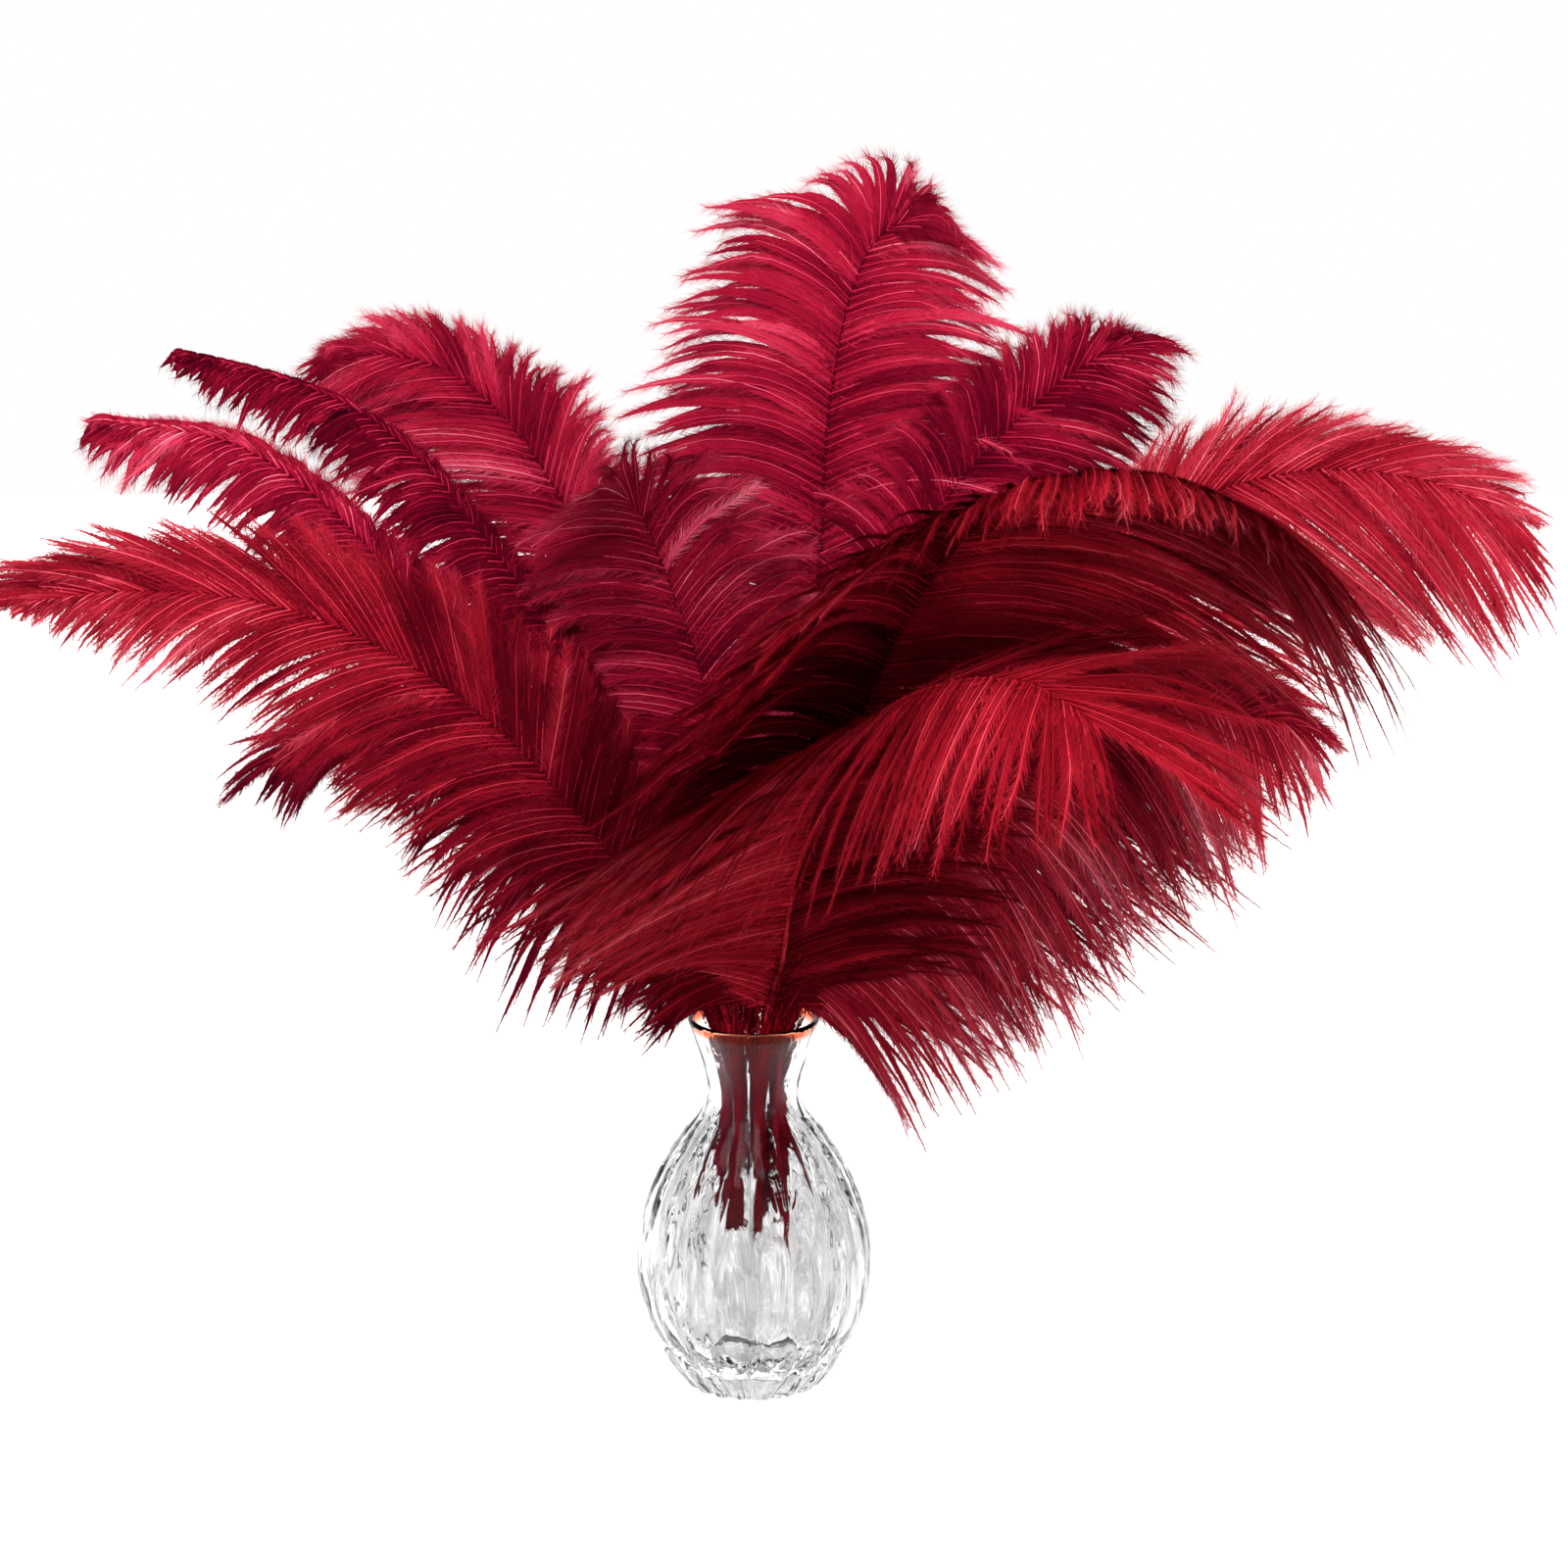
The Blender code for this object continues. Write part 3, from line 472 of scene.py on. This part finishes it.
def shaftLine(plume):
    # centripetal Catmull-Rom curve through quill end, neck, rim and the shaft's own points
    degrees, ring = plume["seat"]
    radius = sheaf[ring]
    neck = np.array([radius * math.cos(math.radians(degrees)), radius * math.sin(math.radians(degrees)),
                     sheaf["neckLevel"]])
    spread, endHeight = plume["end"]
    end = np.array([neck[0] * spread, neck[1] * spread, endHeight])
    rim = mixed(neck, np.array(plume["shaft"][0], float), sheaf["rimBlend"])
    rim[2] = sheaf["rimLevel"]
    rim[:2] *= min(1.0, sheaf["rimReach"] / math.hypot(rim[0], rim[1]))
    points = np.vstack([end, neck, rim, plume["shaft"]])
    knots = np.vstack([2 * points[0] - points[1], points, 2 * points[-1] - points[-2]])
    k0, k1, k2, k3 = (knots[i:len(knots) - 3 + i, None, :] for i in range(4))
    s1 = np.sqrt(np.linalg.norm(k1 - k0, axis=-1, keepdims=True))
    s2 = s1 + np.sqrt(np.linalg.norm(k2 - k1, axis=-1, keepdims=True))
    s3 = s2 + np.sqrt(np.linalg.norm(k3 - k2, axis=-1, keepdims=True))
    t = s1 + (s2 - s1) * np.linspace(0.0, 1.0, sheaf["lineSteps"], endpoint=False)[None, :, None]
    a1 = (s1 - t) / s1 * k0 + t / s1 * k1
    a2 = (s2 - t) / (s2 - s1) * k1 + (t - s1) / (s2 - s1) * k2
    a3 = (s3 - t) / (s3 - s2) * k2 + (t - s2) / (s3 - s2) * k3
    b1 = (s2 - t) / s2 * a1 + t / s2 * a2
    b2 = (s3 - t) / (s3 - s1) * a2 + (t - s1) / (s3 - s1) * a3
    line = ((s2 - t) / (s2 - s1) * b1 + (t - s1) / (s2 - s1) * b2).reshape(-1, 3)
    line = np.vstack([line, points[-1]])
    run = np.concatenate([[0.0], np.cumsum(np.linalg.norm(np.diff(line, axis=0), axis=1))])
    return line, run


def frameAlong(shaft, at):
    # place on the shaft at a run, with its direction, the direction across it and the way its face looks
    line, run = shaft["line"], shaft["run"]

    def pick(where):
        # the line's point at a run, straight between its points
        return np.stack([np.interp(where, run, line[:, k]) for k in range(3)], axis=-1)

    before = pick(np.maximum(at - sheaf["lookRun"], 0.0))
    along = unit(pick(np.minimum(at + sheaf["lookRun"], run[-1])) - before)
    share = np.clip((at - shaft["start"]) / (run[-1] - shaft["start"]), 0.0, 1.0)[..., None]
    rootFace, tipFace = np.array(shaft["plume"]["face"])
    across = unit(np.cross(along, rootFace * (1 - share) + tipFace * share))
    return pick(at), along, across, np.cross(across, along)


def vaneOutline(share, root, taper, tip, fall=2.0):
    # barb length along the vane: it swells from the root, then closes as (1 - closing^fall)^(1/fall)
    swell = mixed(root, 1.0, np.sin(np.minimum(share / barbs["swellRun"], 1.0) * math.pi / 2))
    closing = np.clip((share - taper) / (1 - taper), 0.0, 1.0)
    return swell * mixed(tip, 1.0, (1 - closing ** fall) ** (1 / fall))


def vaneReach(plume, side, share):
    # reach of the barbs in mm: each side's own reach * its own outline
    left, right = plume["outline"]
    return np.where(side > 0, plume["reach"][1] * vaneOutline(share, *right),
                    plume["reach"][0] * vaneOutline(share, *left))


def alongVane(share, values):
    # a value given at even shares of the vane, straight between them
    return np.interp(share, np.linspace(0.0, 1.0, len(values)), values)


def ripple(barb, t, size, pace, phases):
    # size * t * sin(2 pi * (pace * waves * t + phases * phase))
    return (size * t * np.sin(2 * math.pi * (pace * barb["waves"] * t + phases * barb["phase"])))[..., None]


def barbPoints(shaft, barb, t):
    # place + reach * (t * start + t^2 * bend) + ripples; a lock's barbs drift to its middle one as t grows
    plume = shaft["plume"]
    side = barb["side"]
    pull = plume.get("clump", barbs["clump"]) * t ** 3
    share = mixed(barb["share"], barb["lockShare"], pull)
    place, along, across, face = frameAlong(shaft, mixed(shaft["start"], shaft["run"][-1], share))
    lean = np.interp(share, [0, 1], plume["lean"])
    if "leanLeft" in plume:
        lean = np.where(side > 0, lean, np.interp(share, barbs["leftShares"], plume["leanLeft"]))
    closing = mixed(barbs["tipLean"], 1.0, np.clip((1 - share) / barbs["tipRun"], 0.0, 1.0))
    lean = np.radians(lean) * closing + barb["lean"]
    outward = across * np.where(side > 0, 1.0, -1.0)[..., None]
    start = (np.cos(lean)[..., None] * along + np.sin(lean)[..., None] * outward
             + barb["lift"][..., None] * face)
    droopLeft = plume["droop"][0]
    if "droopLeft" in plume:
        droopLeft = np.interp(share, barbs["leftShares"], plume["droopLeft"])
    droop = np.where(side > 0, plume["droop"][1], droopLeft) * barb["droop"]
    bend = -droop[..., None] * np.array([0.0, 0.0, 1.0]) - plume["recurve"] * along
    reach = (vaneReach(plume, side, share) * barb["length"])[..., None]
    run = t[..., None]
    points = (place + reach * (run * start + run ** 2 * bend) + ripple(barb, t, *barbs["faceWave"]) * face
              + ripple(barb, t, *barbs["alongWave"]) * along)
    return points, face


def makeBarbs(shaft, rng):
    # one entry per barb, the left side's first; slow noise along the vane keeps neighbours alike
    plume = shaft["plume"]
    perSide = int((shaft["run"][-1] - shaft["start"]) / plume.get("spacing", barbs["spacing"]))
    count = 2 * perSide
    side = np.repeat([0, 1], perSide)
    share = np.tile((np.arange(perSide) + 0.5) / perSide, 2)
    share = np.clip(share + rng.normal(0, barbs["shareJitter"] / perSide, count), 0.0, 1.0)
    lockEdges = np.cumsum(rng.uniform(*barbs["lockSizes"], 4 * perSide))
    lockEdges = lockEdges * barbs["barbsInLock"] / perSide / 2
    lock = np.searchsorted(lockEdges, share * 0.5 + side * 3.0)     # the sides' locks lie well apart
    names, inverse = np.unique(lock, return_inverse=True)
    lockShare = (np.bincount(inverse, share) / np.bincount(inverse))[inverse]
    lockNoise = rng.normal(0, 1, len(names))[inverse]

    def varied(key):
        # slow noise read between a few knots along both sides, plus the barb's own jitter
        slow, own = barbs["noise"][key]
        knots = barbs["noiseKnots"]
        drift = np.interp(share + side, np.linspace(0, 2, knots), rng.normal(0, slow, knots))
        return drift + rng.normal(0, own, count)

    barb = {
        "side": side, "share": share, "lockShare": lockShare,
        "length": 1 + varied("length") + barbs["lockLength"] * lockNoise,
        "lean": varied("lean"), "droop": 1 + varied("droop"), "lift": varied("lift"),
        "waves": rng.uniform(*barbs["waves"], count), "phase": varied("phase"),
        "tone": rng.normal(0, barbs["toneJitter"], count) + barbs["lockTone"] * lockNoise,
    }
    # painted light and shade along each side of the vane, with some of the feather's own colour, added to
    # every barb's tone
    if "shade" in plume:
        left, right = plume["shade"]
        barb["tone"] = barb["tone"] + np.where(side > 0, alongVane(share, right), alongVane(share, left))
    barb["long"] = barb["length"] * vaneReach(plume, side, share)
    return barb


def barbRibbons(shaft, barb):
    # three ribbons along each barb: fine paler ones proud of either face, painted highlight lines darkened
    # by painted shade near the shaft, and a broad dark one between them
    plume = shaft["plume"]
    t = np.linspace(0.0, 1.0, ribbons["stations"])
    spread = {key: value[:, None] + 0 * t[None] for key, value in barb.items()}
    centre, face = barbPoints(shaft, spread, np.broadcast_to(t, spread["share"].shape))
    ahead = unit(np.gradient(centre, axis=1))
    wide = unit(np.cross(ahead, face))
    proud = np.cross(wide, ahead) * (ribbons["proud"] * (1 - ribbons["proudLoss"] * t))[None, :, None]
    fine = wide * mixed(ribbons["rootWidth"], ribbons["tipWidth"], t ** ribbons["taper"])[None, :, None] / 2
    broad = plume.get("webWidth", ribbons["webWidth"]) * (1 - t ** 3) + ribbons["tipWidth"]
    broad = wide * broad[None, :, None] / 2
    front = np.stack([centre + proud - fine, centre + proud + fine], axis=2)
    back = np.stack([centre - proud + fine, centre - proud - fine], axis=2)
    web = np.stack([centre - broad, centre + broad], axis=2)
    # fade adds painted shade at the barb's root and painted light at its tip
    tone = barb["tone"][:, None] + alongVane(t, plume.get("fade", barbs["fade"]))[None]
    # the fine ribbons' paler tones are painted highlight lines; near the shaft painted shade darkens them
    light = np.where(np.arange(len(tone)) % 2 > 0, ribbons["highlightTones"][1], ribbons["highlightTones"][0])
    light = light[:, None] + tone - ribbons["rootShade"] * (1 - t[None]) ** ribbons["rootShadePower"]
    dark = ribbons["webTone"] + plume["tone"] + tone
    tones = np.repeat(np.concatenate([light, light, dark]).ravel(), 2)
    points = np.stack([front, back, web]).reshape(-1, 3)
    return points, ribbonQuads(3 * len(centre), ribbons["stations"]), noTriangles, tones


def barbuleTriangles(shaft, barb, rng):
    # slim triangles either side of each barb, leaning towards its tip and turned about it a little
    plume = shaft["plume"]
    perBarb = (barb["long"] / plume.get("pitch", barbules["pitch"])).astype(int)
    perBarb = np.maximum(barbules["fewest"], perBarb)
    owner = np.repeat(np.arange(len(perBarb)), perBarb)
    count = len(owner)
    order = np.arange(count) - np.repeat(np.cumsum(perBarb) - perBarb, perBarb)
    t = barbules["lastShare"] * (order + rng.uniform(0, 1, count)) / perBarb[owner]
    way = np.where(rng.uniform(0, 1, count) < 0.5, -1.0, 1.0)
    spread = {key: value[owner] for key, value in barb.items()}
    root, face = barbPoints(shaft, spread, t)
    ahead = unit(barbPoints(shaft, spread, t + barbules["lookAhead"])[0] - root)
    across = unit(np.cross(ahead, face))
    normal = np.cross(across, ahead)
    turn = rng.normal(0, barbules["turn"], count)
    steep = rng.uniform(0, 1, count)
    angle = (np.interp(steep, [0, 1], np.radians(barbules["angle"]))
             + barbules["rootAngle"] * np.exp(-t / barbules["rootRun"]))
    long = np.interp(steep, [0, 1], barbules["length"]) * rng.uniform(*barbules["lengthSpread"], count)
    long = long * mixed(1.0, barbules["tipLength"], t ** 3)
    long = np.minimum(long, barbules["longest"] * spread["long"] + barbules["least"])
    outward = (way * np.cos(turn))[:, None] * across + np.sin(turn)[:, None] * normal
    tip = root + long[:, None] * (np.cos(angle)[:, None] * ahead + np.sin(angle)[:, None] * outward)
    tip[:, 2] -= barbules["sag"] * long
    half = ahead * (-way * mixed(*barbules["width"], t) / 2)[:, None]
    points = np.stack([root - half, root + half, tip], axis=1).reshape(-1, 3)
    tone = barbules["tone"] + plume["tone"] + spread["tone"] + barbules["toneRise"] * t
    tone = tone + rng.normal(0, barbules["toneJitter"], count)
    # fade adds painted shade at the barb's root and painted light at its tip
    tone = tone + alongVane(t, plume.get("fade", barbs["fade"]))
    foot = tone + barbules["footTone"]
    tones = np.stack([foot, foot, tone + barbules["endTone"]], axis=-1).ravel()
    return points, noQuads, np.arange(len(points)).reshape(-1, 3), tones


def shaftTube(shaft):
    # a round tube carried along the line: thick quill, then a power taper to the tip, closed at both ends
    at = np.linspace(0.0, shaft["run"][-1], tube["rows"])
    place, along, across, face = frameAlong(shaft, at)
    share = at / at[-1]
    radius = mixed(tube["tip"], tube["quill"], (1 - share) ** tube["taper"])
    radius = radius * np.clip(tube["lowEnd"] + at / tube["lowEndRun"], 0.0, 1.0)
    turn = np.linspace(0, 2 * math.pi, tube["around"], endpoint=False)
    ring = across[:, None] * np.cos(turn)[None, :, None] - face[:, None] * np.sin(turn)[None, :, None]
    points = (place[:, None] + ring * radius[:, None, None]).reshape(-1, 3)
    ends = [place[0] - along[0] * tube["capBelow"], place[-1] + along[-1] * tube["capAbove"]]
    above = shaft["plume"].get("shaftTone", tube["tone"])
    # a plume's own shaft tone shows only above the rim; inside the neck the darker tone stays as painted
    # shade
    tone = np.where(at > shaft["rimRun"], above, tube["tone"])
    tone = tone - tube["dark"] * np.clip((share - tube["darkFrom"]) / tube["darkRun"], 0.0, 1.0)
    tones = np.concatenate([np.repeat(tone, tube["around"]), [tube["tone"], tube["tipTone"]]])
    return np.vstack([points, ends]), *tubeFaces(tube["rows"], tube["around"]), tones


def insideWall(points, gap):
    # points below the rim that would touch the glass are drawn in towards the axis
    room = np.interp(points[..., 2], *boreRoom) - gap
    out = np.hypot(points[..., 0], points[..., 1])
    squeeze = np.minimum(1.0, room / np.maximum(out, 0.01))
    squeeze = np.where(points[..., 2] < down["freeAbove"], squeeze, 1.0)
    return points * np.stack([squeeze, squeeze, np.ones_like(squeeze)], axis=-1)


def neckDown(shaft, rng):
    # downy barbs low on the shaft: the upper ones lie up along it, the lowest wrap its end like a brush
    count, stations = down["count"], down["stations"]
    at = shaft["rimRun"] * np.sort(rng.uniform(down["from"], down["to"], count))
    place, along, across, face = frameAlong(shaft, at)
    turn = rng.uniform(0, 2 * math.pi, count)[:, None]
    outward = np.cos(turn) * across + np.sin(turn) * face
    low = (at < down["brush"] * shaft["rimRun"])[:, None, None]
    lean = rng.uniform(*down["lean"], count)[:, None, None]
    long = rng.uniform(*down["length"], count)[:, None, None]
    reach = np.minimum(long, down["brushReach"] * at[:, None, None] + down["brushOver"])
    least, perLean = down["bulge"]

    def path(t):
        # straight up and outward for the upper ones; down the shaft, bulging as a half sine, for the low
        t = t[..., None]
        up = place[:, None] + long * t * (np.cos(lean) * along[:, None] + np.sin(lean) * outward[:, None])
        belly = np.sin(math.pi * np.minimum(mixed(down["bellyStart"], 1.0, t), 1.0))
        bulge = down["brushWidth"] * (least + perLean * lean) * belly
        wrap = place[:, None] - reach * t * along[:, None] + bulge * outward[:, None]
        return insideWall(np.where(low, wrap, up), down["wall"])

    t = np.broadcast_to(np.linspace(0, 1, stations), (count, stations))
    centre = path(t)
    ahead = unit(np.gradient(centre, axis=1))
    wide = unit(np.cross(ahead, outward[:, None] + down["faceTurn"] * face[:, None]))
    half = wide * (down["width"] * (1 - down["widthLoss"] * t))[..., None]
    ribbon = np.stack([centre - half, centre + half], axis=2).reshape(-1, 3)
    t = rng.uniform(0.0, 1.0, (count, down["barbules"]))
    root = path(t)
    ahead = unit(path(t + down["lookAhead"]) - root + 1e-6)     # never quite nothing
    side = unit(np.cross(ahead, rng.normal(0, 1, root.shape)))
    size = down["barbuleLength"] * rng.uniform(*down["barbuleSpread"], t.shape)
    size = size * (1 - down["barbuleTipLoss"] * t)
    tip = root + size[..., None] * (down["barbuleAhead"] * ahead + down["barbuleOut"] * side)
    spine = np.cross(ahead, side) * down["barbuleWidth"]
    fuzz = np.stack([root - spine, root + spine, insideWall(tip, down["tipWall"])], axis=-2).reshape(-1, 3)
    triangles = len(ribbon) + np.arange(len(fuzz)).reshape(-1, 3)
    tone = np.repeat([down["ribbonTone"], down["barbuleTone"]], [len(ribbon), len(fuzz)])
    tone = tone + rng.normal(0, down["toneJitter"], len(tone))
    return np.vstack([ribbon, fuzz]), ribbonQuads(count, stations), triangles, tone


def makePlume(name, plume, seed, materials):
    # shaft tube, barb ribbons, barbules and neck down joined into one mesh with a tone at each point
    rng = np.random.default_rng(seed)
    line, run = shaftLine(plume)
    rimRun = run[np.argmax(line[:, 2] > sheaf["rimLevel"])]
    shaft = {"plume": plume, "line": line, "run": run, "rimRun": rimRun,
             "start": rimRun + sheaf["vaneStart"]}
    barb = makeBarbs(shaft, rng)
    parts = [shaftTube(shaft), barbRibbons(shaft, barb), barbuleTriangles(shaft, barb, rng),
             neckDown(shaft, rng)]
    points, quads, triangles, tones = zip(*parts)
    offsets = np.concatenate([[0], np.cumsum([len(part) for part in points])[:-1]])
    piece = meshFromArrays(
        "plume_" + name.replace("feather_", ""), np.vstack(points),
        np.vstack([part + offset for part, offset in zip(quads, offsets)]),
        np.vstack([part + offset for part, offset in zip(triangles, offsets)]),
        np.clip(np.concatenate(tones), 0.0, 1.0))
    print("plume:", name, len(barb["side"]), "barbs,", len(piece.data.polygons), "faces")
    piece.data.materials.append(materials[plume["dye"]])
    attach(piece, "root")
    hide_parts(name)
    return len(piece.data.polygons)


# Camera: 15 degrees above the horizon and far off, with a long lens, as in the photograph

camera = {"target": (9.5, 0.0, 195.0), "distance": 2000.0, "elevation": 15.0, "lens": 148.46,
          "sensor": 36.0, "farthest": 50.0}


def makeCamera():
    # place = target + distance * (0, -cos(elevation), sin(elevation)), looking back at the target
    data = bpy.data.cameras.new("camera")
    data.lens = camera["lens"]
    data.sensor_width = camera["sensor"]
    data.clip_end = camera["farthest"]
    tilt = math.radians(camera["elevation"])
    x, y, z = camera["target"]
    place = (x, y - camera["distance"] * math.cos(tilt), z + camera["distance"] * math.sin(tilt))
    thing = addObject("camera", data)
    thing.location = [v * mm for v in place]
    thing.rotation_euler = (math.pi / 2 - tilt, 0.0, 0.0)
    bpy.context.scene.camera = thing


# Lamps, in metres and watts: a broad one above, softer ones in front, from the right and from behind

lamps = {
    "key": {"place": (-0.35, -0.85, 1.35), "size": 0.9, "power": 34.0},
    "front": {"place": (-0.5, -1.9, 0.7), "size": 1.2, "power": 14.0},
    "right": {"place": (1.1, -1.5, 0.35), "size": 0.8, "power": 30.0},
    "back": {"place": (-0.2, 1.9, 0.45), "size": 1.4, "power": 60.0, "keptOffGlass": True},
}
lampTarget = (0.0, 0.0, 0.2)


def makeLamps():
    # each lamp is tilted by its angle from straight down and turned so that it faces the target
    for name, lamp in lamps.items():
        data = bpy.data.lights.new(name, 'AREA')
        data.size = lamp["size"]
        data.energy = lamp["power"]
        thing = addObject(name, data)
        thing.location = lamp["place"]
        x, y, z = np.array(lampTarget) - np.array(lamp["place"])
        thing.rotation_euler = (math.atan2(math.hypot(x, y), -z), 0.0, math.atan2(-x, y))
        thing.visible_transmission = not lamp.get("keptOffGlass", False)
        thing.visible_glossy = thing.visible_transmission


# Studio: a pale floor and white surroundings, neither of which lights the barbs

studio = {
    "floorSide": 1.3,
    "floor": {"Roughness": 0.9, "Base Color": (0.9, 0.9, 0.9, 1.0), "Specular IOR Level": 0.1,
              "Emission Color": (1.0, 1.0, 1.0, 1.0), "Emission Strength": 0.80},
    "world": {"Color": (1.0, 1.0, 1.0, 1.0), "Strength": 1.0},
}


def makeStudio():
    # a square floor of twice floorSide, kept out of the diffuse light, and an even white world
    side = studio["floorSide"]
    floor = bpy.data.meshes.new("floor")
    floor.from_pydata([(-side, -side, 0), (side, -side, 0), (side, side, 0), (-side, side, 0)],
                      [], [(0, 1, 2, 3)])
    floor.materials.append(principled("pale_floor", studio["floor"])[0])
    thing = addObject("floor", floor)
    thing.visible_diffuse = False
    world = bpy.data.worlds.new("studio")
    bpy.context.scene.world = world
    world.use_nodes = True
    setSockets(world.node_tree.nodes["Background"], studio["world"])
    world.cycles_visibility.diffuse = False
    bpy.context.scene.view_settings.view_transform = 'Standard'


makeCamera()
makeStudio()
makeLamps()
print("camera, studio and", len(lamps), "lamps made")
makeVase()
print("vase made")
dyes = {key: barbMaterial(key + "_crimson_barbs", finish["stops"]) for key, finish in barbFinish.items()}
firstSeed = 100
faces = [makePlume(name, plume, seed, dyes) for seed, (name, plume) in enumerate(plumes.items(), firstSeed)]
print("plumes made:", len(faces), "with", sum(faces), "faces")

bpy.context.view_layer.update()
